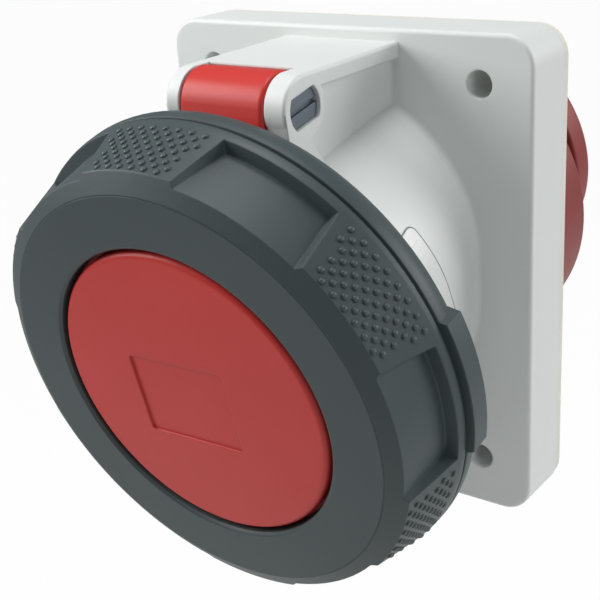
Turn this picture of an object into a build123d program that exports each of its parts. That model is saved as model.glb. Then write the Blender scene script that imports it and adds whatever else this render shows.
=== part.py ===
# Industrial panel socket with a hinged lid and a bayonet ring, in millimetres.
# The origin is the middle of the four panel screws, in the plane of the flange's rear face.
# The flange faces -Y, and +Z is up.
# The socket's own axis leaves the flange forward and leans down by the tilt angle.
import os
from math import atan2, cos, degrees, radians, sin, sqrt, tan

from build123d import *

os.makedirs("parts", exist_ok=True)

# Flange
flange_width = 114.0
flange_height = 130.5
flange_depth = 17.4
flange_corner = 8.0
flange_edge = 1.1
flange_wall = 4.0
rim_wall = 3.5
screw_pitch_x = 84.7
screw_pitch_z = 103.4
flange_drop = 0.9
screw_hole_radius = 3.6
screw_boss_radius = 6.6
gasket_thickness = 2.5
gasket_inset = 0.25

# Socket axis
tilt = 12.1
axis_height = 4.3

# Neck and collar
neck_radius = 41.6
neck_spread = 9.6
neck_wall = 3.2
neck_front = 50.0
neck_foot_round = 1.5
collar_outer = 43.6
collar_inner = 39.8
collar_front = 78.9
collar_edge = 0.8
shoulder_thickness = 3.2
shoulder_hole = 35.3
keyway_width = 8.0
keyway_depth = 2.0
lug_angle = -32.0
lug_width = 8.3
lug_rise = 5.0
lug_rear = 64.0
lug_depth = 5.0

# Hinge bracket
bracket_left = -16.9
bracket_right = 19.3
roof_height = 61.2
roof_thickness = 4.1
web_inset = 3.1
roof_setback = 4.4
web_wall = 3.0
core_floor = 50.8
core_depth = 30.0
leg_front = 56.2
collar_gap = 0.4
hinge_y = -58.4
hinge_z = 52.6
ear_radius = 8.1
ear_edge_round = 0.9
left_ear_width = 4.2
right_ear_width = 5.9
pocket_clearance = 0.5
barrel_growth = 0.2
barrel_edge_round = 1.2
barrel_side_gap = 0.45
pin_radius = 2.5
pin_blind = 1.2
pin_fit = 0.03
pin_running = 0.08
head_radius = 5.8
head_flats = 7.7
head_depth = 5.0
head_recess = 1.0
head_clearance = 0.15
head_slot_width = 1.3
head_slot_depth = 1.0

# Lid
lid_face_radius = 40.3
lid_front = 88.5
lid_flange_radius = 52.6
lid_flange_rear = 79.15
lid_flange_front = 83.7
lid_edge_round = 1.6
lid_face_wall = 3.2
lid_cavity_radius = 36.5
lid_rib_width = 2.0
seal_inner = 38.1
seal_outer = 44.9
seal_height = 2.5
seal_gap = 0.15
skirt_inner = 47.2
skirt_outer = 51.2
tongue_reach = 8.8
arm_gap = 2.2
arm_tangent = 7.3
label_width = 30.0
label_height = 23.0
label_depth = 0.5
label_turn = 2.0

# Bayonet ring
ring_hole_radius = 41.4
ring_hole_edge = 0.7
ring_front = 89.0
ring_flat_radius = 55.3
ring_edge_radius = 60.45
ring_edge_s = 86.4
pad_spread = 4.15
pad_rear_s = 70.0
window_front_depth = 1.25
window_rear_depth = 3.1
window_rear_s = 71.6
window_rear_slope = 0.4
groove_depth = 0.8
groove_front_s = 68.7
groove_width = 1.1
rim_spread = 0.15
rim_round = 3.4
ring_rear = 59.3
ring_bore = 53.0
ring_axial_gap = 0.2
snap_radius = 51.8
snap_width = 1.1
window_count = 6
window_turn = 2.8
window_front_half = 17.8
window_rear_half = 15.3
window_side_width = 1.6
bump_angle = 4.0
bump_rise = 1.7
bump_sweep = 33.0
bump_end_slope = 1.6
ramp_start = -20.0
ramp_sweep = 48.0
ramp_radius = 46.2
ramp_height = 3.1
ramp_slope = 2.6

# Contacts and their carriers
pole_radius = 18.5
pole_count = 5
carrier_radius = 34.9
carrier_front = 74.0
carrier_flange_radius = 38.2
carrier_flange_width = 4.0
carrier_wall = 2.5
insert_gap = 0.15
carrier_rear = 24.0
core_gap = 0.1
seal_section = 0.9
seal_ring_radius = 36.5
mouth_depth = 3.0
contact_fit = 0.2
contact_collar = 1.2
contact_collar_depth = 3.0
spring_band_front = 63.0
spring_band_width = 3.0
spring_band_depth = 0.5
phase_pin = 4.05
earth_pin = 5.05
pilot_pin = 3.05
contact_wall = 2.15
pilot_wall = 1.35
shank_step = 0.5
pin_bore_depth = 40.0
slit_width = 0.9
slit_depth = 24.0
wire_wall = 2.1
terminal_screw_radius = 2.5
terminal_head_radius = 3.6
terminal_head_height = 3.0

# Rear terminal body
drum_radius = 52.0
drum_edge_round = 1.0
drum_rear = -27.0
drum_seat = 6.0
core_radius = 33.0
end_disc_radius = 42.1
end_disc_front = -45.0
end_disc_rear = -54.0
hub_radius = 10.0
rib_width = 3.0
terminal_rear = -43.0
fixing_offset = 32.5
fixing_radius = 2.0
fixing_head_radius = 3.7
fixing_head_height = 2.8
fixing_upper_seat = -12.0
fixing_lower_seat = 2.0
fixing_length = 17.5
fixing_boss_radius = 4.6

# Hinge spring
spring_radius = 4.4
spring_wire = 0.45
spring_pitch = 1.35
spring_turns = 6

axis_dir = Vector(0, -cos(radians(tilt)), -sin(radians(tilt)))
up_dir = Vector(0, -sin(radians(tilt)), cos(radians(tilt)))
socket_origin = Vector(0, 0, axis_height)
socket_plane = Plane(origin=socket_origin, x_dir=(1, 0, 0), z_dir=axis_dir)
section_plane = Plane(origin=socket_origin, x_dir=up_dir, z_dir=(1, 0, 0))
socket_axis = Axis(socket_origin, axis_dir)


def side_point(along, across):
    """Y and Z of a point given along the socket's axis and upwards across it."""
    point = socket_origin + axis_dir * along + up_dir * across
    return (point.Y, point.Z)


def save(piece, name):
    piece.part.label = name
    export_step(piece.part, f"parts/{name}.step")


def socket_edge_ends(edge, radius):
    """Whether an edge runs along the socket's axis at a radius from it."""
    offset = edge.center() - socket_origin
    across = offset - axis_dir * offset.dot(axis_dir)
    return edge.geom_type == GeomType.LINE and abs(across.length - radius) < 0.01


def wedge(reach, start, sweep):
    """Corners of a wedge from the axis, to keep one sector of a round sketch."""
    corners = [(0, 0)]
    for share in (0, 0.5, 1):
        angle = radians(start + sweep * share)
        corners.append((reach * cos(angle), reach * sin(angle)))
    return corners


# Places that several pieces share
web_left = bracket_left + web_inset
web_right = bracket_right - web_inset
pocket_left = bracket_left + left_ear_width
pocket_right = bracket_right - right_ear_width
pocket_width = pocket_right - pocket_left
barrel_left = pocket_left + barrel_side_gap
barrel_right = pocket_right - barrel_side_gap
barrel_width = barrel_right - barrel_left
barrel_radius = ear_radius + barrel_growth
pocket_radius = barrel_radius + pocket_clearance
hinge_plane = Plane(origin=(0, hinge_y, hinge_z), x_dir=(0, 1, 0), z_dir=(1, 0, 0))
head_plane = Plane(origin=(0, hinge_y, hinge_z), x_dir=axis_dir * -1, z_dir=(1, 0, 0))
cavity_depth = flange_depth - flange_wall
shoulder_rear = neck_front
shoulder_front = shoulder_rear + shoulder_thickness
lug_radius = collar_outer + lug_rise
pole_angles = [-90.0 + 360.0 / pole_count * index for index in range(pole_count)]
fixing_seats = ((1, fixing_upper_seat), (-1, fixing_lower_seat))

# Bosses that take the rear body's screws, cut off square between the flange wall and the seat
with BuildPart() as fixing_bosses:
    with BuildSketch(socket_plane.offset(-20)):
        with GridLocations(2 * fixing_offset, 2 * fixing_offset, 2, 2):
            Circle(fixing_boss_radius)
    extrude(amount=60)
    split(bisect_by=Plane.XZ.offset(drum_seat), keep=Keep.TOP)
    split(bisect_by=Plane.XZ.offset(cavity_depth + 1), keep=Keep.BOTTOM)

# Solid neck, from inside the flange's wall to its front end
with BuildPart() as neck:
    with BuildSketch(socket_plane):
        SlotCenterToCenter(neck_spread, 2 * neck_radius, rotation=90)
    extrude(amount=neck_front)
    split(bisect_by=Plane.XZ.offset(cavity_depth), keep=Keep.TOP)

# Roof of the hinge bracket, rounded along its sides
with BuildPart() as roof:
    with BuildSketch(Plane.YZ.offset(bracket_left)):
        with BuildLine():
            Polyline(
                (-cavity_depth, roof_height),
                (hinge_y, hinge_z + ear_radius),
                (hinge_y, hinge_z + ear_radius - roof_thickness),
                (-cavity_depth, roof_height - roof_thickness),
                close=True,
            )
        make_face()
    extrude(amount=bracket_right - bracket_left)
    side_edges = roof.faces().sort_by(Axis.X)[0].edges() + roof.faces().sort_by(Axis.X)[-1].edges()
    fillet(side_edges.sort_by(Axis.Z)[-2:], ear_edge_round)

# Ears of the bracket, rounded round their outer faces
with BuildPart() as ears:
    for ear_start, ear_width in ((bracket_left, left_ear_width), (pocket_right, right_ear_width)):
        with BuildSketch(hinge_plane.offset(ear_start)):
            Circle(ear_radius)
        extrude(amount=ear_width)
    rim_edges = ears.edges().filter_by(GeomType.CIRCLE).sort_by(Axis.X)
    fillet([rim_edges[0], rim_edges[-1]], ear_edge_round)

# Housing: flange, neck and hinge bracket in one moulding
with BuildPart() as housing:
    with BuildSketch(Plane.XZ):
        with Locations((0, -flange_drop)):
            RectangleRounded(flange_width, flange_height, flange_corner)
    extrude(amount=flange_depth)
    fillet(housing.faces().sort_by(Axis.Y)[0].outer_wire().edges(), flange_edge)
    add(neck.part)
    # Webs below the roof
    with BuildSketch(Plane.YZ.offset(web_left)):
        with BuildLine():
            Polyline(
                (-cavity_depth - 1, roof_height - 1),
                (hinge_y + ear_radius / 2, roof_height - 1),
                (hinge_y + ear_radius / 2, side_point(neck_front - 4, neck_radius)[1]),
                side_point(8, neck_radius),
                close=True,
            )
        make_face()
    extrude(amount=web_right - web_left)
    foot_edges = [
        edge
        for edge in housing.edges()
        if abs(edge.center().Y + flange_depth) < 0.01
        and abs(edge.center().X) < neck_radius + 3
        and abs(edge.center().Z) < roof_height - 4
    ]
    fillet(foot_edges, neck_foot_round)
    add(roof.part)
    add(ears.part)
    # Legs of the ears, which run down the back of the ring
    for ear_start, ear_width in ((bracket_left, left_ear_width), (pocket_right, right_ear_width)):
        with BuildSketch(Plane.YZ.offset(ear_start)):
            with BuildLine():
                Polyline(
                    (hinge_y - ear_radius + 0.3, hinge_z),
                    (hinge_y - ear_radius + 1.4, hinge_z - ear_radius),
                    side_point(leg_front, collar_outer + collar_gap),
                    side_point(neck_front, collar_outer + collar_gap),
                    side_point(neck_front, neck_radius - 1),
                    side_point(neck_front - 8, neck_radius - 1),
                    (hinge_y + 1.5, hinge_z - ear_radius + 0.3),
                    (hinge_y + 1.5, hinge_z),
                    close=True,
                )
            make_face()
        extrude(amount=ear_width)
    # Hollow rear of the flange, with the bosses for the panel screws and the rear body
    with BuildSketch(Plane.XZ):
        with Locations((0, -flange_drop)):
            RectangleRounded(flange_width - 2 * rim_wall, flange_height - 2 * rim_wall, flange_corner - rim_wall)
    extrude(amount=cavity_depth, mode=Mode.SUBTRACT)
    with BuildSketch(Plane.XZ):
        with GridLocations(screw_pitch_x, screw_pitch_z, 2, 2):
            Circle(screw_boss_radius)
    extrude(amount=cavity_depth + 1)
    add(fixing_bosses.part)
    # Cored-out bracket, open to the hollow behind
    with BuildSketch(Plane.XZ.offset(cavity_depth - 1)):
        with Locations(((web_left + web_right) / 2, (roof_height + core_floor - roof_thickness) / 2)):
            Rectangle(web_right - web_left - 2 * web_wall, roof_height - roof_thickness - core_floor)
    extrude(amount=core_depth, mode=Mode.SUBTRACT)
    # Bore along the socket's axis
    with BuildSketch(socket_plane.offset(-20)):
        SlotCenterToCenter(neck_spread, 2 * (neck_radius - neck_wall), rotation=90)
    extrude(amount=20 + neck_front, mode=Mode.SUBTRACT)
    # Screw holes
    with BuildSketch(Plane.XZ):
        with GridLocations(screw_pitch_x, screw_pitch_z, 2, 2):
            Circle(screw_hole_radius)
    extrude(amount=flange_depth, mode=Mode.SUBTRACT)
    for side, seat in fixing_seats:
        with BuildSketch(socket_plane.offset(seat)):
            with Locations((-fixing_offset, side * fixing_offset), (fixing_offset, side * fixing_offset)):
                Circle(fixing_radius)
        extrude(amount=fixing_length + 0.5, mode=Mode.SUBTRACT)
    # Pocket for the lid's barrel, the pin's window and its bore
    with BuildSketch(hinge_plane.offset(pocket_left)):
        Circle(pocket_radius)
        with Locations((roof_setback - pocket_radius / 2, pocket_radius / 2)):
            Rectangle(pocket_radius, pocket_radius)
    extrude(amount=pocket_width, mode=Mode.SUBTRACT)
    with BuildSketch(head_plane.offset(bracket_right - head_depth)):
        Circle(head_radius + head_clearance)
        Rectangle(3 * head_radius, head_flats + 2 * head_clearance, mode=Mode.INTERSECT)
    extrude(amount=head_depth, mode=Mode.SUBTRACT)
    with BuildSketch(hinge_plane.offset(bracket_left + pin_blind)):
        Circle(pin_radius + pin_fit)
    extrude(amount=bracket_right - bracket_left - pin_blind, mode=Mode.SUBTRACT)
save(housing, "housing")

# Round collar in front of the neck, with the keyway and the bayonet lugs
with BuildPart() as socket_collar:
    with BuildSketch(socket_plane.offset(shoulder_rear)):
        Circle(collar_outer)
    extrude(amount=collar_front - shoulder_rear)
    chamfer(socket_collar.faces().sort_by(socket_axis)[-1].outer_wire().edges(), collar_edge)
    with BuildSketch(socket_plane.offset(lug_rear)):
        with PolarLocations(lug_radius - lug_rise / 2 - 0.5, 2, start_angle=lug_angle):
            Rectangle(lug_rise + 1, lug_width)
    extrude(amount=lug_depth)
    with BuildSketch(socket_plane.offset(shoulder_rear)):
        Circle(collar_inner)
    extrude(amount=collar_front - shoulder_rear, mode=Mode.SUBTRACT)
    with BuildSketch(socket_plane.offset(shoulder_front)):
        with Locations((0, -collar_inner)):
            Rectangle(keyway_width, 2 * keyway_depth)
    extrude(amount=collar_front - shoulder_front, mode=Mode.SUBTRACT)
save(socket_collar, "socket_collar")

# Shoulder inside the collar that the contact carrier seats behind
with BuildPart() as socket_shoulder:
    with BuildSketch(socket_plane.offset(shoulder_rear)):
        Circle(collar_inner)
        Circle(shoulder_hole, mode=Mode.SUBTRACT)
    extrude(amount=shoulder_thickness)
save(socket_shoulder, "socket_shoulder")

# Flange gasket behind the flange
with BuildPart() as flange_gasket:
    with BuildSketch(Plane.XZ):
        with Locations((0, -flange_drop)):
            RectangleRounded(flange_width - 2 * gasket_inset, flange_height - 2 * gasket_inset, flange_corner)
        with Locations((0, axis_height)):
            Ellipse(drum_radius + 0.8, (drum_radius + 1.3) / cos(radians(tilt)), mode=Mode.SUBTRACT)
        with GridLocations(screw_pitch_x, screw_pitch_z, 2, 2):
            Circle(screw_hole_radius, mode=Mode.SUBTRACT)
    extrude(amount=-gasket_thickness)
save(flange_gasket, "flange_gasket")


def pole_plane(angle, radius, along):
    """A plane across a pole's own axis, with its x direction pointing outwards."""
    outwards = Vector(cos(radians(angle)), 0, 0) + up_dir * sin(radians(angle))
    return Plane(origin=socket_origin + outwards * radius + axis_dir * along, x_dir=outwards, z_dir=axis_dir)


# Each pole's name, place and pin size, the earth pole at the bottom with the thickest pin
poles = [
    ("contact_earth", pole_angles[0], pole_radius, earth_pin, contact_wall),
    ("contact_l1", pole_angles[1], pole_radius, phase_pin, contact_wall),
    ("contact_l2", pole_angles[2], pole_radius, phase_pin, contact_wall),
    ("contact_l3", pole_angles[3], pole_radius, phase_pin, contact_wall),
    ("contact_neutral", pole_angles[4], pole_radius, phase_pin, contact_wall),
    ("contact_pilot", 90.0, 0.0, pilot_pin, pilot_wall),
]
sleeve_front = carrier_front - mouth_depth
carrier_flange_rear = shoulder_rear - carrier_flange_width
insert_radius = carrier_radius - carrier_wall - insert_gap

# Front cover of the contacts: a cup with a mouth for each pin, seated behind the shoulder
with BuildPart() as contact_carrier:
    with BuildSketch(socket_plane.offset(carrier_flange_rear)):
        Circle(carrier_flange_radius)
    extrude(amount=shoulder_rear - carrier_flange_rear)
    with BuildSketch(socket_plane.offset(shoulder_rear)):
        Circle(carrier_radius)
    extrude(amount=carrier_front - shoulder_rear)
    chamfer(contact_carrier.faces().sort_by(socket_axis)[-1].outer_wire().edges(), 1.0)
    with BuildSketch(socket_plane.offset(carrier_flange_rear)):
        Circle(carrier_radius - carrier_wall)
    extrude(amount=sleeve_front - carrier_flange_rear, mode=Mode.SUBTRACT)
    with BuildSketch(socket_plane.offset(shoulder_rear)):
        Circle(seal_ring_radius + seal_section)
        Circle(seal_ring_radius - seal_section, mode=Mode.SUBTRACT)
    extrude(amount=-2 * seal_section, mode=Mode.SUBTRACT)
    for name, angle, radius, pin, wall in poles:
        with BuildSketch(pole_plane(angle, radius, sleeve_front)):
            Circle(pin + 0.6)
        extrude(amount=mouth_depth, mode=Mode.SUBTRACT)
save(contact_carrier, "contact_carrier")

# Insert inside the cup that holds the contacts
with BuildPart() as contact_insert:
    with BuildSketch(socket_plane.offset(carrier_rear)):
        Circle(insert_radius)
    extrude(amount=sleeve_front - insert_gap - carrier_rear)
    for name, angle, radius, pin, wall in poles:
        with BuildSketch(pole_plane(angle, radius, carrier_rear)):
            Circle(pin + wall + contact_fit)
        extrude(amount=sleeve_front - carrier_rear, mode=Mode.SUBTRACT)
        with BuildSketch(pole_plane(angle, radius, carrier_rear)):
            Circle(pin + wall + contact_collar + contact_fit)
        extrude(amount=contact_collar_depth + contact_fit, mode=Mode.SUBTRACT)
save(contact_insert, "contact_insert")

# Sealing ring between the cup's flange and the shoulder
with BuildPart() as carrier_seal:
    with BuildSketch(section_plane):
        with Locations((seal_ring_radius, shoulder_rear - seal_section)):
            Circle(seal_section)
    revolve(axis=socket_axis)
save(carrier_seal, "carrier_seal")

# Rear terminal body: drum behind the panel with a core that backs the insert
with BuildPart() as terminal_body:
    with BuildSketch(socket_plane.offset(drum_rear)):
        Circle(drum_radius)
    extrude(amount=50)
    fillet(terminal_body.faces().sort_by(socket_axis)[0].outer_wire().edges(), drum_edge_round)
    split(bisect_by=Plane.XZ.offset(drum_seat), keep=Keep.BOTTOM)
    with BuildSketch(socket_plane.offset(drum_rear + 1)):
        Circle(core_radius)
    extrude(amount=carrier_rear - core_gap - drum_rear - 1)
    for name, angle, radius, pin, wall in poles:
        with BuildSketch(pole_plane(angle, radius, drum_rear)):
            Circle(pin + wall - shank_step + contact_fit)
        extrude(amount=carrier_rear - drum_rear, mode=Mode.SUBTRACT)
    for side, seat in fixing_seats:
        with BuildSketch(socket_plane.offset(drum_rear)):
            with Locations((-fixing_offset, side * fixing_offset), (fixing_offset, side * fixing_offset)):
                Circle(fixing_head_radius + 0.4)
        extrude(amount=seat - drum_rear, mode=Mode.SUBTRACT)
        with BuildSketch(socket_plane.offset(seat)):
            with Locations((-fixing_offset, side * fixing_offset), (fixing_offset, side * fixing_offset)):
                Circle(fixing_radius + 0.15)
        extrude(amount=fixing_length + 5, mode=Mode.SUBTRACT)
save(terminal_body, "terminal_body")

# Wire cap behind the drum: a disc on a hub and ribs, with a hole for each wire
with BuildPart() as wire_cap:
    with BuildSketch(socket_plane.offset(end_disc_rear)):
        Circle(end_disc_radius)
    extrude(amount=end_disc_front - end_disc_rear)
    fillet(wire_cap.faces().sort_by(socket_axis)[0].outer_wire().edges(), 2.0)
    fillet(wire_cap.faces().sort_by(socket_axis)[-1].outer_wire().edges(), 0.8)
    with BuildSketch(socket_plane.offset(end_disc_front - 1)):
        Circle(hub_radius)
        with PolarLocations(core_radius / 2, pole_count, start_angle=pole_angles[0] + 180 / pole_count):
            Rectangle(core_radius, rib_width)
    extrude(amount=drum_rear - end_disc_front + 1)
    for name, angle, radius, pin, wall in poles:
        with BuildSketch(pole_plane(angle, radius, end_disc_rear)):
            Circle(pin + wall - shank_step + contact_fit)
        extrude(amount=drum_rear - end_disc_rear, mode=Mode.SUBTRACT)
save(wire_cap, "wire_cap")


def screw_plane(angle, radius):
    """A plane on a pole's axis in the middle of its terminal, facing outwards."""
    base = pole_plane(angle, radius, (drum_rear + terminal_rear) / 2)
    return Plane(origin=base.origin, x_dir=axis_dir, z_dir=base.x_dir)


def make_contact(angle, radius, pin, wall):
    """A turned contact: slotted sleeve in front, collar, shank and wire bore behind."""
    outer = pin + wall
    shank = outer - shank_step
    with BuildPart() as contact:
        with BuildSketch(pole_plane(angle, radius, carrier_rear)):
            Circle(outer)
        extrude(amount=sleeve_front - 0.2 - carrier_rear)
        with BuildSketch(pole_plane(angle, radius, carrier_rear)):
            Circle(outer + contact_collar)
        extrude(amount=contact_collar_depth)
        with BuildSketch(pole_plane(angle, radius, terminal_rear)):
            Circle(shank)
        extrude(amount=carrier_rear - terminal_rear)
        with BuildSketch(pole_plane(angle, radius, spring_band_front)):
            Circle(outer)
            Circle(outer - spring_band_depth, mode=Mode.SUBTRACT)
        extrude(amount=-spring_band_width, mode=Mode.SUBTRACT)
        with BuildSketch(pole_plane(angle, radius, sleeve_front)):
            Circle(pin)
        extrude(amount=-pin_bore_depth, mode=Mode.SUBTRACT)
        with BuildSketch(pole_plane(angle, radius, sleeve_front)):
            Rectangle(2 * outer + 1, slit_width)
            Rectangle(slit_width, 2 * outer + 1)
        extrude(amount=-slit_depth, mode=Mode.SUBTRACT)
        with BuildSketch(pole_plane(angle, radius, terminal_rear)):
            Circle(shank - wire_wall if radius > 0 else shank - 1.2)
        extrude(amount=15, mode=Mode.SUBTRACT)
        if radius > 0:
            with BuildSketch(screw_plane(angle, radius)):
                Circle(terminal_screw_radius)
            extrude(amount=shank, mode=Mode.SUBTRACT)
    return contact


for name, angle, radius, pin, wall in poles:
    save(make_contact(angle, radius, pin, wall), name)

# Spring bands around the slotted sleeves, one group
with BuildPart() as contact_springs:
    for name, angle, radius, pin, wall in poles:
        with BuildSketch(pole_plane(angle, radius, spring_band_front)):
            Circle(pin + wall + 0.1)
            Circle(pin + wall - spring_band_depth, mode=Mode.SUBTRACT)
        extrude(amount=-spring_band_width)
save(contact_springs, "contact_springs")

# Terminal screws, one group
with BuildPart() as terminal_screws:
    for name, angle, radius, pin, wall in poles[:pole_count]:
        seat = pin + wall - shank_step
        with BuildSketch(screw_plane(angle, radius).offset(seat - wire_wall - 0.5)):
            Circle(terminal_screw_radius)
        extrude(amount=wire_wall + 0.7)
        with BuildSketch(screw_plane(angle, radius).offset(seat + 0.1)):
            Circle(terminal_head_radius)
        extrude(amount=terminal_head_height)
        with BuildSketch(screw_plane(angle, radius).offset(seat + 0.1 + terminal_head_height)):
            Rectangle(2 * terminal_head_radius + 1, 1.2)
        extrude(amount=-1.4, mode=Mode.SUBTRACT)
save(terminal_screws, "terminal_screws")

# Screws that hold the rear body, one group
with BuildPart() as carrier_screws:
    for side, seat in fixing_seats:
        with BuildSketch(socket_plane.offset(seat)):
            with Locations((-fixing_offset, side * fixing_offset), (fixing_offset, side * fixing_offset)):
                Circle(fixing_radius)
        extrude(amount=fixing_length)
        with BuildSketch(socket_plane.offset(seat)):
            with Locations((-fixing_offset, side * fixing_offset), (fixing_offset, side * fixing_offset)):
                Circle(fixing_head_radius)
        extrude(amount=-fixing_head_height)
        with BuildSketch(socket_plane.offset(seat - fixing_head_height)):
            with Locations((-fixing_offset, side * fixing_offset), (fixing_offset, side * fixing_offset)):
                Rectangle(4.2, 0.9)
                Rectangle(0.9, 4.2)
        extrude(amount=1.5, mode=Mode.SUBTRACT)
save(carrier_screws, "carrier_screws")

# Hinge pin with its flatted, slotted head
with BuildPart() as hinge_pin:
    with BuildSketch(head_plane.offset(bracket_right - head_depth)):
        Circle(head_radius)
        Rectangle(3 * head_radius, head_flats, mode=Mode.INTERSECT)
    extrude(amount=head_depth - head_recess)
    with BuildSketch(head_plane.offset(bracket_right - head_recess)):
        Rectangle(3 * head_radius, head_slot_width)
    extrude(amount=-head_slot_depth, mode=Mode.SUBTRACT)
    with BuildSketch(hinge_plane.offset(bracket_left + pin_blind + 0.2)):
        Circle(pin_radius)
    extrude(amount=bracket_right - head_depth - bracket_left - pin_blind - 0.2)
save(hinge_pin, "hinge_pin")

# Torsion spring on the pin, in the barrel's left end
spring_length = spring_pitch * spring_turns
with BuildPart() as hinge_spring:
    with BuildLine() as coil:
        Helix(
            spring_pitch,
            spring_length,
            spring_radius,
            center=(barrel_left + 1.2, hinge_y, hinge_z),
            direction=(1, 0, 0),
        )
    with BuildSketch(Plane(origin=coil.line @ 0, z_dir=coil.line % 0)):
        RegularPolygon(spring_wire, 8)
    sweep(is_frenet=True)
save(hinge_spring, "hinge_spring")

# Arm of the lid with the hinge barrel, rounded at the barrel's ends
with BuildPart() as lid_arm:
    with BuildSketch(Plane.YZ.offset(barrel_left)):
        with BuildLine():
            Polyline(
                side_point(ring_rear - tongue_reach, skirt_inner + 0.6),
                side_point(ring_rear - arm_gap, skirt_inner + 0.6),
                side_point(ring_rear - arm_gap, skirt_outer + 4.5),
                (
                    hinge_y - barrel_radius * cos(radians(arm_tangent)),
                    hinge_z + barrel_radius * sin(radians(arm_tangent)),
                ),
                (hinge_y, hinge_z),
                side_point(ring_rear - tongue_reach - 3.0, skirt_outer + 1.5),
                close=True,
            )
        make_face()
        with Locations((hinge_y, hinge_z)):
            Circle(barrel_radius)
    extrude(amount=barrel_width)
    barrel_edges = lid_arm.edges().filter_by(GeomType.CIRCLE).sort_by(Axis.X)
    fillet([barrel_edges[0], barrel_edges[-1]], barrel_edge_round)

# Lid: face disc inside the ring, flange behind it, arm and hinge barrel in one moulding
with BuildPart() as lid:
    with BuildSketch(socket_plane.offset(lid_flange_rear)):
        Circle(lid_flange_radius)
    extrude(amount=lid_flange_front - lid_flange_rear)
    with BuildSketch(socket_plane.offset(lid_flange_front - 1)):
        Circle(lid_face_radius)
    extrude(amount=lid_front - lid_flange_front + 1)
    fillet(lid.faces().sort_by(socket_axis)[-1].outer_wire().edges(), lid_edge_round)
    with BuildSketch(socket_plane.offset(lid_front)):
        with Locations((-2.0, -2.2)):
            RectangleRounded(label_width, label_height, 1.2, rotation=label_turn)
    extrude(amount=-label_depth, mode=Mode.SUBTRACT)
    with BuildSketch(socket_plane.offset(lid_flange_rear)):
        Circle(lid_cavity_radius)
    extrude(amount=lid_front - lid_face_wall - lid_flange_rear, mode=Mode.SUBTRACT)
    with BuildSketch(socket_plane.offset(lid_flange_rear)):
        with PolarLocations(0, 3):
            Rectangle(2 * lid_cavity_radius + 1, lid_rib_width)
        Circle(lid_cavity_radius - 9)
        Circle(lid_cavity_radius - 9 - lid_rib_width, mode=Mode.SUBTRACT)
    extrude(amount=lid_front - lid_face_wall - lid_flange_rear)
    with BuildSketch(socket_plane.offset(lid_flange_rear)):
        Circle(seal_outer + 0.15)
        Circle(seal_inner - 0.15, mode=Mode.SUBTRACT)
    extrude(amount=seal_height, mode=Mode.SUBTRACT)
    # Tongue that runs inside the ring from the flange to the arm
    with BuildSketch(socket_plane.offset(ring_rear - tongue_reach)):
        Circle(skirt_outer)
        Circle(skirt_inner, mode=Mode.SUBTRACT)
        with Locations(((barrel_left + barrel_right) / 2, skirt_outer)):
            Rectangle(barrel_width, 14, mode=Mode.INTERSECT)
    extrude(amount=lid_flange_rear + 0.5 - ring_rear + tongue_reach)
    add(lid_arm.part)
    with BuildSketch(hinge_plane.offset(barrel_left)):
        Circle(pin_radius + pin_running)
    extrude(amount=barrel_width, mode=Mode.SUBTRACT)
    with BuildSketch(hinge_plane.offset(barrel_left)):
        Circle(spring_radius + spring_wire + 0.35)
    extrude(amount=spring_length + 3.0, mode=Mode.SUBTRACT)
save(lid, "lid")

# Lid seal in its groove, facing the collar's rim
with BuildPart() as lid_seal:
    with BuildSketch(socket_plane.offset(collar_front + seal_gap)):
        Circle(seal_outer)
        Circle(seal_inner, mode=Mode.SUBTRACT)
    extrude(amount=lid_flange_rear + seal_height - 0.05 - collar_front - seal_gap)
save(lid_seal, "lid_seal")

# The ring's grip surface in section: bevel, cone, and the floor of the windows
bevel_slope = (ring_front - ring_edge_s) / (ring_edge_radius - ring_flat_radius)
cone_slope = pad_spread / (ring_edge_s - pad_rear_s)
pad_rear_radius = ring_edge_radius + pad_spread
rim_radius = pad_rear_radius + rim_spread
bump_radius = rim_radius + bump_rise
window_front_radius = ring_edge_radius - window_front_depth
window_front_s = ring_front - (window_front_radius - ring_flat_radius) * bevel_slope
window_rear_radius = ring_edge_radius + cone_slope * (ring_edge_s - window_rear_s) - window_rear_depth


def window_section(outwards, reach):
    """Plane and corners of a window's outline, at its floor (reach 0) or at the grip's surface (reach 1)."""
    front_half = window_front_half - window_side_width * (1 - reach)
    rear_half = window_rear_half - window_side_width * (1 - reach)
    front_floor = sqrt(window_front_radius**2 - (window_front_half - window_side_width) ** 2)
    front_rim = sqrt(ring_edge_radius**2 - window_front_half**2)
    rear_floor = sqrt(window_rear_radius**2 - (window_rear_half - window_side_width) ** 2)
    rear_rim = sqrt(pad_rear_radius**2 - window_rear_half**2)
    front_height = front_floor + reach * (front_rim - front_floor)
    rear_height = rear_floor + reach * (rear_rim - rear_floor)
    front = socket_origin + axis_dir * window_front_s + outwards * front_height
    rear = socket_origin + axis_dir * pad_rear_s + outwards * rear_height
    backwards = (rear - front).normalized()
    length = (rear - front).length
    spread = (front_half - rear_half) / length
    corners = (
        (-front_half - 2 * spread, -2),
        (front_half + 2 * spread, -2),
        (rear_half - spread, length + 1),
        (-rear_half + spread, length + 1),
    )
    across = backwards.cross(outwards).normalized()
    return Plane(origin=front, x_dir=across, z_dir=across.cross(backwards)), corners


def make_window_prism(angle):
    """A prism over one window, sloping between its floor and the grip's surface and straight above."""
    outwards = Vector(cos(radians(angle)), 0, 0) + up_dir * sin(radians(angle))
    with BuildPart() as prism:
        for reach in (-1, 1.1):
            plane, corners = window_section(outwards, reach)
            with BuildSketch(plane):
                with BuildLine():
                    Polyline(*corners, close=True)
                make_face()
        loft(ruled=True)
        plane, corners = window_section(outwards, 1.1)
        with BuildSketch(plane):
            with BuildLine():
                Polyline(*corners, close=True)
            make_face()
        extrude(amount=12, dir=outwards)
    return prism.part


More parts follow.
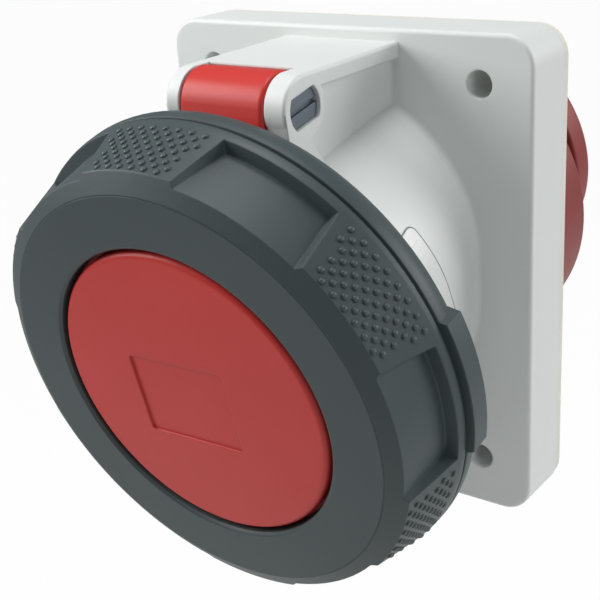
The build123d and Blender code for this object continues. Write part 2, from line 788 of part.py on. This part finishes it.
# Prisms with sloping sides, one over each window of the ring's grip
prisms = [make_window_prism(window_turn + 360.0 / window_count * index) for index in range(window_count)]
with BuildPart() as window_prisms:
    for prism in prisms:
        add(prism)

# Windows between the grip pads: what lies outside their floor, inside the prisms
with BuildPart() as windows:
    with BuildSketch(section_plane):
        with BuildLine():
            Polyline(
                (window_front_radius, ring_front + 1),
                (window_front_radius, window_front_s),
                (window_rear_radius, window_rear_s),
                (pad_rear_radius + 0.5, window_rear_s - window_rear_slope),
                (pad_rear_radius + 3, window_rear_s - window_rear_slope),
                (pad_rear_radius + 3, ring_front + 1),
                close=True,
            )
        make_face()
    revolve(axis=socket_axis)
    add(window_prisms.part, mode=Mode.INTERSECT)

# Bumps on the rear rim over the ramps, with sloping ends
bump_rear = ring_rear + 2.2
bump_front = groove_front_s - groove_width
with BuildPart() as bumps:
    for turn in (bump_angle, bump_angle + 180):
        with BuildSketch(socket_plane.offset(bump_rear)):
            Circle(bump_radius)
            Circle(rim_radius - 3, mode=Mode.SUBTRACT)
            Polygon(*wedge(2 * bump_radius, turn - bump_sweep / 2, bump_sweep), align=None, mode=Mode.INTERSECT)
        extrude(amount=bump_front - bump_rear)
    chamfer(
        [edge for edge in bumps.edges() if socket_edge_ends(edge, bump_radius)],
        bump_rise,
        bump_rise * bump_end_slope,
    )

# Bayonet ring: the grip, around the lid's flange
with BuildPart() as bayonet_ring:
    with BuildSketch(section_plane):
        with BuildLine():
            Polyline(
                (ring_flat_radius, lid_flange_front + ring_axial_gap),
                (ring_flat_radius, ring_front),
                (ring_edge_radius, ring_edge_s),
                (pad_rear_radius, pad_rear_s),
                (rim_radius, groove_front_s),
                (rim_radius - groove_depth, groove_front_s - 0.2),
                (rim_radius - groove_depth, groove_front_s - groove_width + 0.2),
                (rim_radius, groove_front_s - groove_width),
            )
            ThreePointArc(
                (rim_radius, groove_front_s - groove_width),
                (rim_radius - 0.8, ring_rear + 3.0),
                (rim_radius - rim_round, ring_rear),
            )
            Polyline(
                (rim_radius - rim_round, ring_rear),
                (ring_bore, ring_rear),
                (ring_bore, lid_flange_rear - 0.5 - snap_width - 0.6),
                (snap_radius, lid_flange_rear - 0.5 - snap_width),
                (snap_radius, lid_flange_rear - 0.5),
                (ring_bore, lid_flange_rear - 0.3),
                (ring_bore, lid_flange_front + ring_axial_gap),
                (ring_flat_radius, lid_flange_front + ring_axial_gap),
            )
        make_face()
    revolve(axis=socket_axis)
    add(windows.part, mode=Mode.SUBTRACT)
    add(bumps.part)
save(bayonet_ring, "bayonet_ring")

# Flat face of the ring, welded into the grip in front of the lid's flange
with BuildPart() as ring_face:
    with BuildSketch(section_plane):
        with BuildLine():
            Polyline(
                (ring_hole_radius, lid_flange_front + ring_axial_gap),
                (ring_hole_radius, ring_front - ring_hole_edge),
                (ring_hole_radius + ring_hole_edge, ring_front),
                (ring_flat_radius, ring_front),
                (ring_flat_radius, lid_flange_front + ring_axial_gap),
                close=True,
            )
        make_face()
    revolve(axis=socket_axis)
save(ring_face, "ring_face")


def make_ramp(start):
    """One bayonet ramp: a sector on the ring's bore, cut off on a slope."""
    middle = start + ramp_sweep / 2
    outwards = Vector(cos(radians(middle)), 0, 0) + up_dir * sin(radians(middle))
    forward = axis_dir.cross(outwards)
    crest = socket_origin + axis_dir * (ring_rear + ramp_height) + outwards * ramp_radius
    slope_plane = Plane(origin=crest, x_dir=outwards, z_dir=axis_dir - forward * tan(radians(ramp_slope)))
    with BuildPart() as ramp:
        with BuildSketch(socket_plane.offset(ring_rear)):
            Circle(ring_bore)
            Circle(ramp_radius, mode=Mode.SUBTRACT)
            Polygon(*wedge(2 * ring_bore, start, ramp_sweep), align=None, mode=Mode.INTERSECT)
        extrude(amount=ramp_height + 3)
        split(bisect_by=slope_plane, keep=Keep.BOTTOM)
    return ramp.part


# Bayonet ramps on the ring's bore
ramps = [make_ramp(start) for start in (ramp_start, ramp_start + 180)]
with BuildPart() as ring_ramps:
    for ramp in ramps:
        add(ramp)
save(ring_ramps, "ring_ramps")
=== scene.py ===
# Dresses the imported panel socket: camera, finishes, grip domes, label field and a soft white studio
import math

import bmesh
import bpy
from mathutils import Matrix, Vector


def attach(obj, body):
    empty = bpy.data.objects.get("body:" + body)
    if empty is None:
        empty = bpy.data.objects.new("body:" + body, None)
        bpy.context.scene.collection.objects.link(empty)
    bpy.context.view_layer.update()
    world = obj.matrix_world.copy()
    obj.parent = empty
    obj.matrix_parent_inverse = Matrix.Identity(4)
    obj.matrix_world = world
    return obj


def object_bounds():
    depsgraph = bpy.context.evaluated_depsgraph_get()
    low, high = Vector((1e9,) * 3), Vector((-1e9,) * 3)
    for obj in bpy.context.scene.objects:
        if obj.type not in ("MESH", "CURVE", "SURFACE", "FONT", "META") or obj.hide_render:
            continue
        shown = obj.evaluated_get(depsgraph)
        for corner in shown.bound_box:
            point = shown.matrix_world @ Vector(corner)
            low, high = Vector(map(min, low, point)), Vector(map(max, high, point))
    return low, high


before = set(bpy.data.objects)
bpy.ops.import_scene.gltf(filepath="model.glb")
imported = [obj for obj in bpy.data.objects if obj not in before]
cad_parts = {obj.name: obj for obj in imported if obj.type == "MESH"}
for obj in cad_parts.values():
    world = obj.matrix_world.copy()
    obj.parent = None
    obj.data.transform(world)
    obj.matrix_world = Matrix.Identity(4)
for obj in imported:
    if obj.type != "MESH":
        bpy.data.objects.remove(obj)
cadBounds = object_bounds()
print("stage: frame loaded, nodes:", len(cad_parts))

mm = 0.001
white = (1.0, 1.0, 1.0)


# Camera, fitted to the photograph
cameraSettings = {
    "position": (180.6 * mm, -276.0 * mm, 111.4 * mm),
    "yaw": 37.47,
    "pitch": 21.37,
    "roll": -3.69,
    "focalPixels": 1185.69,
    "centrePixels": (298.94, 299.66),
    "imagePixels": 600,
    "sensor": 36.0,
    "clip": (0.02, 20.0),
}


def buildCamera(settings):
    yaw, pitch, roll = (math.radians(settings[key]) for key in ("yaw", "pitch", "roll"))
    right = Vector((math.cos(yaw), math.sin(yaw), 0.0))
    ahead = Vector((-math.sin(yaw), math.cos(yaw), 0.0))
    forward = ahead * math.cos(pitch) - Vector((0.0, 0.0, math.sin(pitch)))
    down = forward.cross(right)
    rolledRight = right * math.cos(roll) - down * math.sin(roll)
    rolledDown = right * math.sin(roll) + down * math.cos(roll)
    pixels = settings["imagePixels"]
    centreX, centreY = settings["centrePixels"]
    data = bpy.data.cameras.new("camera")
    data.sensor_width = settings["sensor"]
    data.lens = settings["focalPixels"] * settings["sensor"] / pixels
    data.shift_x = (pixels / 2 - centreX) / pixels
    data.shift_y = (centreY - pixels / 2) / pixels
    data.clip_start, data.clip_end = settings["clip"]
    camera = bpy.data.objects.new("camera", data)
    bpy.context.scene.collection.objects.link(camera)
    turn = Matrix((rolledRight, -rolledDown, -forward)).transposed()
    camera.matrix_world = Matrix.Translation(Vector(settings["position"])) @ turn.to_4x4()
    bpy.context.scene.camera = camera


buildCamera(cameraSettings)
print("stage: camera set")

# The socket's own axis, as in the solids
socket = {
    "tilt": math.radians(12.1),
    "height": 4.3 * mm,
}
axisDir = Vector((0.0, -math.cos(socket["tilt"]), -math.sin(socket["tilt"])))
upDir = Vector((0.0, -math.sin(socket["tilt"]), math.cos(socket["tilt"])))
socketOrigin = Vector((0.0, 0.0, socket["height"]))


def outwardsAt(turn):
    return Vector((math.cos(turn), 0.0, 0.0)) + upDir * math.sin(turn)


# What the materials are made of
def newMaterial(name):
    material = bpy.data.materials.new(name)
    material.use_nodes = True
    tree = material.node_tree
    tree.nodes.clear()
    output = tree.nodes.new("ShaderNodeOutputMaterial")
    shader = tree.nodes.new("ShaderNodeBsdfPrincipled")
    tree.links.new(shader.outputs["BSDF"], output.inputs["Surface"])
    return material, tree, shader


def addNoise(tree, scale, detail, roughness):
    coords = tree.nodes.new("ShaderNodeTexCoord")
    noise = tree.nodes.new("ShaderNodeTexNoise")
    noise.inputs["Scale"].default_value = scale
    noise.inputs["Detail"].default_value = detail
    noise.inputs["Roughness"].default_value = roughness
    tree.links.new(coords.outputs["Object"], noise.inputs["Vector"])
    return noise


# Slow drifts of tone, from the dark colour to the light one
clouds = {
    "detail": 3.0,
    "roughness": 0.5,
    "darkStop": 0.3,
    "lightStop": 0.7,
}


def addClouds(tree, shader, scale, settings):
    cloud = addNoise(tree, scale, clouds["detail"], clouds["roughness"])
    ramp = tree.nodes.new("ShaderNodeValToRGB")
    for element, tone in zip(ramp.color_ramp.elements, ("dark", "light")):
        element.position = clouds[tone + "Stop"]
        element.color = (*settings[tone], 1.0)
    tree.links.new(cloud.outputs["Fac"], ramp.inputs["Fac"])
    tree.links.new(ramp.outputs["Color"], shader.inputs["Base Color"])


def addRoughness(tree, shader, source, settings):
    spread = tree.nodes.new("ShaderNodeMapRange")
    spread.inputs["To Min"].default_value = settings["roughLow"]
    spread.inputs["To Max"].default_value = settings["roughHigh"]
    tree.links.new(source.outputs["Fac"], spread.inputs["Value"])
    tree.links.new(spread.outputs["Result"], shader.inputs["Roughness"])


def addBump(tree, shader, source, strength, distance):
    bump = tree.nodes.new("ShaderNodeBump")
    bump.inputs["Strength"].default_value = strength
    bump.inputs["Distance"].default_value = distance
    tree.links.new(source.outputs["Fac"], bump.inputs["Height"])
    tree.links.new(bump.outputs["Normal"], shader.inputs["Normal"])
    return bump


# Plastic and rubber: drifts of sheen, a fine moulded grain and softly rounded edges
plasticSurface = {
    "sheenPerCloud": 2.5,
    "sheenDetail": 2.0,
    "sheenRoughness": 0.5,
    "grainDetail": 2.0,
    "grainRoughness": 0.6,
    "edgeSamples": 6,
    "refraction": 1.5,
}


def mouldedPlastic(name, settings):
    surface = plasticSurface
    material, tree, shader = newMaterial(name)
    addClouds(tree, shader, settings["cloudScale"], settings)
    sheenScale = settings["cloudScale"] * surface["sheenPerCloud"]
    sheen = addNoise(tree, sheenScale, surface["sheenDetail"], surface["sheenRoughness"])
    addRoughness(tree, shader, sheen, settings)
    grain = addNoise(tree, settings["grainScale"], surface["grainDetail"], surface["grainRoughness"])
    bump = addBump(tree, shader, grain, settings["grainStrength"], settings["grainDepth"])
    bevel = tree.nodes.new("ShaderNodeBevel")
    bevel.samples = surface["edgeSamples"]
    bevel.inputs["Radius"].default_value = settings["edge"]
    tree.links.new(bevel.outputs["Normal"], bump.inputs["Normal"])
    shader.inputs["IOR"].default_value = surface["refraction"]
    shader.inputs["Specular IOR Level"].default_value = settings["gloss"]
    return material


# Metal: drifts of tone, and fine marks that vary the polish
metalSurface = {
    "cloudScale": 90.0,
    "markScale": 700.0,
    "markDetail": 3.0,
    "markRoughness": 0.7,
    "markStrength": 0.2,
    "markDepth": 0.00002,
}


def plainMetal(name, settings):
    surface = metalSurface
    material, tree, shader = newMaterial(name)
    addClouds(tree, shader, surface["cloudScale"], settings)
    marks = addNoise(tree, surface["markScale"], surface["markDetail"], surface["markRoughness"])
    addRoughness(tree, shader, marks, settings)
    addBump(tree, shader, marks, surface["markStrength"], surface["markDepth"])
    shader.inputs["Metallic"].default_value = 1.0
    return material


# Colours, roughness, grain and edge radius of each finish
finishes = {
    "greyPlastic": {
        "dark": (0.71, 0.735, 0.72), "light": (0.74, 0.765, 0.75), "cloudScale": 14.0,
        "roughLow": 0.38, "roughHigh": 0.46, "gloss": 0.4, "edge": 0.0007,
        "grainScale": 2600.0, "grainStrength": 0.10, "grainDepth": 0.00003,
    },
    "lidPlastic": {
        "dark": (0.56, 0.034, 0.028), "light": (0.60, 0.040, 0.033), "cloudScale": 16.0,
        "roughLow": 0.36, "roughHigh": 0.44, "gloss": 0.35, "edge": 0.0006,
        "grainScale": 2400.0, "grainStrength": 0.14, "grainDepth": 0.00003,
    },
    # Rear red parts: the same red darkened, as painted shade for the shadow they lie in behind the
    # flange
    "rearPaintedShadeRed": {
        "dark": (0.23, 0.030, 0.026), "light": (0.26, 0.034, 0.030), "cloudScale": 16.0,
        "roughLow": 0.40, "roughHigh": 0.50, "gloss": 0.4, "edge": 0.0006,
        "grainScale": 2400.0, "grainStrength": 0.12, "grainDepth": 0.00003,
    },
    "ringPlastic": {
        "dark": (0.050, 0.068, 0.071), "light": (0.056, 0.075, 0.078), "cloudScale": 18.0,
        "roughLow": 0.42, "roughHigh": 0.50, "gloss": 0.38, "edge": 0.0006,
        "grainScale": 2200.0, "grainStrength": 0.18, "grainDepth": 0.00004,
    },
    "pinPlastic": {
        "dark": (0.115, 0.140, 0.175), "light": (0.135, 0.160, 0.195), "cloudScale": 60.0,
        "roughLow": 0.38, "roughHigh": 0.48, "gloss": 0.5, "edge": 0.0003,
        "grainScale": 2600.0, "grainStrength": 0.15, "grainDepth": 0.00003,
    },
    "gasketRubber": {
        "dark": (0.70, 0.68, 0.60), "light": (0.78, 0.76, 0.69), "cloudScale": 60.0,
        "roughLow": 0.70, "roughHigh": 0.85, "gloss": 0.2, "edge": 0.0004,
        "grainScale": 1500.0, "grainStrength": 0.5, "grainDepth": 0.00008,
    },
    "labelFilm": {
        "dark": (0.72, 0.74, 0.725), "light": (0.75, 0.77, 0.755), "cloudScale": 30.0,
        "roughLow": 0.30, "roughHigh": 0.38, "gloss": 0.4, "edge": 0.0001,
        "grainScale": 1800.0, "grainStrength": 0.06, "grainDepth": 0.00002,
    },
    # Painted shadow: the dark rim around the label field stands in for the shadow line at its edge
    "paintedLabelShadow": {
        "dark": (0.22, 0.225, 0.225), "light": (0.27, 0.275, 0.275), "cloudScale": 60.0,
        "roughLow": 0.50, "roughHigh": 0.60, "gloss": 0.3, "edge": 0.0001,
        "grainScale": 1800.0, "grainStrength": 0.05, "grainDepth": 0.00002,
    },
    "sealRubber": {
        "dark": (0.018, 0.018, 0.018), "light": (0.030, 0.030, 0.030), "cloudScale": 80.0,
        "roughLow": 0.55, "roughHigh": 0.70, "gloss": 0.3, "edge": 0.0002,
        "grainScale": 1800.0, "grainStrength": 0.3, "grainDepth": 0.00004,
    },
}
finishes["domePlastic"] = {**finishes["ringPlastic"], "edge": 0.0001, "gloss": 0.5}
metals = {
    "contactMetal": {
        "dark": (0.56, 0.53, 0.46), "light": (0.66, 0.63, 0.56),
        "roughLow": 0.22, "roughHigh": 0.34,
    },
    "springMetal": {
        "dark": (0.50, 0.50, 0.51), "light": (0.58, 0.58, 0.59),
        "roughLow": 0.25, "roughHigh": 0.35,
    },
    "screwMetal": {
        "dark": (0.60, 0.61, 0.62), "light": (0.68, 0.69, 0.70),
        "roughLow": 0.24, "roughHigh": 0.36,
    },
}
materials = {name: mouldedPlastic(name, settings) for name, settings in finishes.items()}
materials.update({name: plainMetal(name, settings) for name, settings in metals.items()})

# Which solids each finish is for
finishNodes = {
    "greyPlastic": ("housing", "socket_collar", "socket_shoulder"),
    "lidPlastic": ("lid",),
    "rearPaintedShadeRed": ("contact_carrier", "contact_insert", "terminal_body", "wire_cap"),
    "ringPlastic": ("bayonet_ring", "ring_face", "ring_ramps"),
    "pinPlastic": ("hinge_pin",),
    "gasketRubber": ("flange_gasket",),
    "sealRubber": ("carrier_seal", "lid_seal"),
    "contactMetal": (
        "contact_earth", "contact_l1", "contact_l2", "contact_l3", "contact_neutral", "contact_pilot",
    ),
    "springMetal": ("contact_springs", "hinge_spring"),
    "screwMetal": ("terminal_screws", "carrier_screws"),
}
for finish, nodes in finishNodes.items():
    for node in nodes:
        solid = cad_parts[node]
        for place in solid.material_slots:
            place.material = materials[finish]
        if not solid.material_slots:
            solid.data.materials.append(materials[finish])
print("stage: finishes on the solids")


def addObject(name, mesh, material):
    data = bpy.data.meshes.new(name)
    mesh.to_mesh(data)
    mesh.free()
    piece = bpy.data.objects.new(name, data)
    bpy.context.scene.collection.objects.link(piece)
    data.materials.append(material)
    return piece


# Grip domes: staggered rows on the ring's six sloping pads
domes = {
    "radius": 0.84 * mm,
    "height": 0.55 * mm,
    "segments": (10, 6),
    "padCentre": 32.8,
    "padCount": 6,
    "frontRow": 85.2 * mm,
    "rowPitch": 1.64 * mm,
    "rows": 9,
    "turnPitch": 3.46,
    "stepsEachWay": 5,
    "frontEdge": (86.4 * mm, 60.45 * mm),  # place along the axis, and radius
    "rearEdge": (70.0 * mm, 64.6 * mm),
    "frontHalfTurn": 10.5,
    "rearHalfTurn": 12.7,
}


def rowTurns(settings, row):
    share = row / (settings["rows"] - 1)
    reach = settings["frontHalfTurn"] * (1 - share) + settings["rearHalfTurn"] * share
    shift = 0.5 if row % 2 == 0 else 0.0
    steps = range(-settings["stepsEachWay"], settings["stepsEachWay"])
    turns = ((step + shift) * settings["turnPitch"] for step in steps)
    return [turn for turn in turns if abs(turn) <= reach]


def addDome(mesh, settings, point, normal):
    side = normal.cross(axisDir).normalized()
    place = Matrix((side, normal.cross(side), normal)).transposed().to_4x4()
    around, upwards = settings["segments"]
    ball = bmesh.ops.create_uvsphere(mesh, u_segments=around, v_segments=upwards, radius=1.0)
    flat = Matrix.Diagonal((settings["radius"], settings["radius"], settings["height"], 1.0))
    bmesh.ops.transform(mesh, matrix=Matrix.Translation(point) @ place @ flat, verts=ball["verts"])


def buildDomes(settings):
    frontAlong, frontRadius = settings["frontEdge"]
    rearAlong, rearRadius = settings["rearEdge"]
    fall = (rearRadius - frontRadius) / (frontAlong - rearAlong)
    mesh = bmesh.new()
    count = 0
    for pad in range(settings["padCount"]):
        centre = settings["padCentre"] + 360.0 / settings["padCount"] * pad
        for row in range(settings["rows"]):
            along = settings["frontRow"] - row * settings["rowPitch"]
            radius = frontRadius + (frontAlong - along) * fall
            for turn in rowTurns(settings, row):
                outwards = outwardsAt(math.radians(centre + turn))
                point = socketOrigin + axisDir * along + outwards * radius
                addDome(mesh, settings, point, (outwards + axisDir * fall).normalized())
                count += 1
    for face in mesh.faces:
        face.smooth = True
    bmesh.ops.recalc_face_normals(mesh, faces=mesh.faces)
    piece = addObject("grip_domes", mesh, materials["domePlastic"])
    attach(piece, "ring")
    print("stage: grip domes", count)


buildDomes(domes)


# Bare label field on the neck's right side: a thin pale plate on a slightly wider dark one, whose
# dark rim is a painted shadow line along the label's edge
label = {
    "neckRadius": 41.6 * mm,
    "neckSpread": 9.6 * mm,
    "centre": (4.6 * mm, 39.8 * mm),  # around the neck from its middle height, and along the axis
    "size": (42.0 * mm, 15.0 * mm),
    "corner": 2.2 * mm,
    "cornerSegments": 5,
    "lengthCuts": 22,
    "cutSnap": 0.0000001,
    "turn": math.radians(11.7),
    "border": 0.45 * mm,
    "borderRise": 0.10 * mm,
    "plateRise": 0.22 * mm,
    "sink": 0.3 * mm,
}


def wrapOnNeck(settings, around, along, rise):
    radius = settings["neckRadius"]
    straight = settings["neckSpread"] / 2
    level = max(-straight, min(straight, around))
    outwards = outwardsAt((around - level) / radius)
    return socketOrigin + axisDir * along + upDir * level + outwards * (radius + rise)


def buildLabelPlate(name, settings, growth, rise, finish):
    length, width = (value + 2 * growth for value in settings["size"])
    mesh = bmesh.new()
    bmesh.ops.create_grid(mesh, x_segments=1, y_segments=1, size=0.5)
    bmesh.ops.scale(mesh, vec=(length, width, 1.0), verts=mesh.verts)
    bmesh.ops.bevel(
        mesh, geom=mesh.verts[:], offset=settings["corner"] + growth, offset_type="OFFSET",
        segments=settings["cornerSegments"], affect="VERTICES", profile=0.5, material=-1,
    )
    for step in range(1, settings["lengthCuts"]):
        place = length * (step / settings["lengthCuts"] - 0.5)
        bmesh.ops.bisect_plane(
            mesh, geom=mesh.verts[:] + mesh.edges[:] + mesh.faces[:], dist=settings["cutSnap"],
            plane_co=(place, 0.0, 0.0), plane_no=(1.0, 0.0, 0.0),
        )
    raised = bmesh.ops.extrude_face_region(mesh, geom=mesh.faces[:])
    top = [item for item in raised["geom"] if isinstance(item, bmesh.types.BMVert)]
    bmesh.ops.translate(mesh, vec=(0.0, 0.0, rise + settings["sink"]), verts=top)
    spin = Matrix.Rotation(settings["turn"], 4, "Z")
    centreAround, centreAlong = settings["centre"]
    for vert in mesh.verts:
        flat = spin @ vert.co
        height = flat.z - settings["sink"]
        vert.co = wrapOnNeck(settings, centreAround + flat.x, centreAlong + flat.y, height)
    bmesh.ops.recalc_face_normals(mesh, faces=mesh.faces)
    piece = addObject(name, mesh, materials[finish])
    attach(piece, "socket")


# The wider dark plate is a painted shadow line around the label
buildLabelPlate("label_shadow_line", label, label["border"], label["borderRise"], "paintedLabelShadow")
buildLabelPlate("label_plate", label, 0.0, label["plateRise"], "labelFilm")
print("stage: label field")


# Studio: four soft lamps aimed at the part, a dim world, and white to the camera all round
studio = {
    "floorDrop": 0.22,
    "floorSize": 6.0,
    "floorColour": (0.85, 0.85, 0.85),
    "floorRoughness": 0.9,
    "floorShadow": 0.03,
    "floorGloss": 0.3,
    "worldColour": (0.95, 0.97, 1.0),
    "worldStrength": 0.18,
    "aim": (0.0, -0.03, 0.0),
}
lamps = [
    {"name": "key", "place": (-0.37, -0.28, 0.26), "size": 0.35, "power": 2.2},
    {"name": "side", "place": (0.70, 0.50, 0.30), "size": 0.5, "power": 3.9},
    {"name": "top", "place": (-0.03, -0.06, 0.84), "size": 0.5, "power": 3.9},
    {"name": "fill", "place": (0.85, -0.35, 0.20), "size": 0.4, "power": 1.1},
]


def buildLamp(settings, aim):
    data = bpy.data.lights.new(settings["name"], "AREA")
    data.shape = "DISK"
    data.size = settings["size"]
    data.energy = settings["power"]
    data.color = white
    lamp = bpy.data.objects.new(settings["name"], data)
    lamp.location = settings["place"]
    sight = Vector(aim) - Vector(settings["place"])
    lamp.rotation_euler = sight.to_track_quat("-Z", "Y").to_euler()
    bpy.context.scene.collection.objects.link(lamp)


def addMath(tree, operation, first, second):
    node = tree.nodes.new("ShaderNodeMath")
    node.operation = operation
    tree.links.new(first, node.inputs[0])
    if isinstance(second, float):
        node.inputs[1].default_value = second
    else:
        tree.links.new(second, node.inputs[1])
    return node.outputs[0]


def addMix(tree, share, first, second, target):
    mix = tree.nodes.new("ShaderNodeMixShader")
    tree.links.new(share, mix.inputs["Fac"])
    tree.links.new(first, mix.inputs[1])
    tree.links.new(second, mix.inputs[2])
    tree.links.new(mix.outputs["Shader"], target.inputs["Surface"])


def floorMaterial(settings):
    material, tree, shader = newMaterial("floorWhite")
    shader.inputs["Base Color"].default_value = (*settings["floorColour"], 1.0)
    shader.inputs["Roughness"].default_value = settings["floorRoughness"]
    glow = tree.nodes.new("ShaderNodeEmission")
    glow.inputs["Color"].default_value = (*white, 1.0)
    paths = tree.nodes.new("ShaderNodeLightPath")
    mirrored = addMath(tree, "MULTIPLY", paths.outputs["Is Glossy Ray"], settings["floorGloss"])
    seen = addMath(tree, "MAXIMUM", paths.outputs["Is Camera Ray"], mirrored)
    share = addMath(tree, "MULTIPLY", seen, 1.0 - settings["floorShadow"])
    output = next(node for node in tree.nodes if node.type == "OUTPUT_MATERIAL")
    addMix(tree, share, shader.outputs["BSDF"], glow.outputs["Emission"], output)
    return material


def buildFloor(settings):
    mesh = bmesh.new()
    bmesh.ops.create_grid(mesh, x_segments=1, y_segments=1, size=settings["floorSize"] / 2)
    floor = addObject("floor", mesh, floorMaterial(settings))
    floor.location = (0.0, 0.0, cadBounds[0][2] - settings["floorDrop"])


def addBackground(tree, colour, strength):
    background = tree.nodes.new("ShaderNodeBackground")
    background.inputs["Color"].default_value = (*colour, 1.0)
    background.inputs["Strength"].default_value = strength
    return background.outputs["Background"]


def buildWorld(settings):
    world = bpy.data.worlds.new("studioWorld")
    world.use_nodes = True
    tree = world.node_tree
    tree.nodes.clear()
    output = tree.nodes.new("ShaderNodeOutputWorld")
    soft = addBackground(tree, settings["worldColour"], settings["worldStrength"])
    plain = addBackground(tree, white, 1.0)
    paths = tree.nodes.new("ShaderNodeLightPath")
    addMix(tree, paths.outputs["Is Camera Ray"], soft, plain, output)
    bpy.context.scene.world = world


for lampSettings in lamps:
    buildLamp(lampSettings, studio["aim"])
buildFloor(studio)
buildWorld(studio)
bpy.context.scene.view_settings.view_transform = "Standard"
print("stage: studio lit")
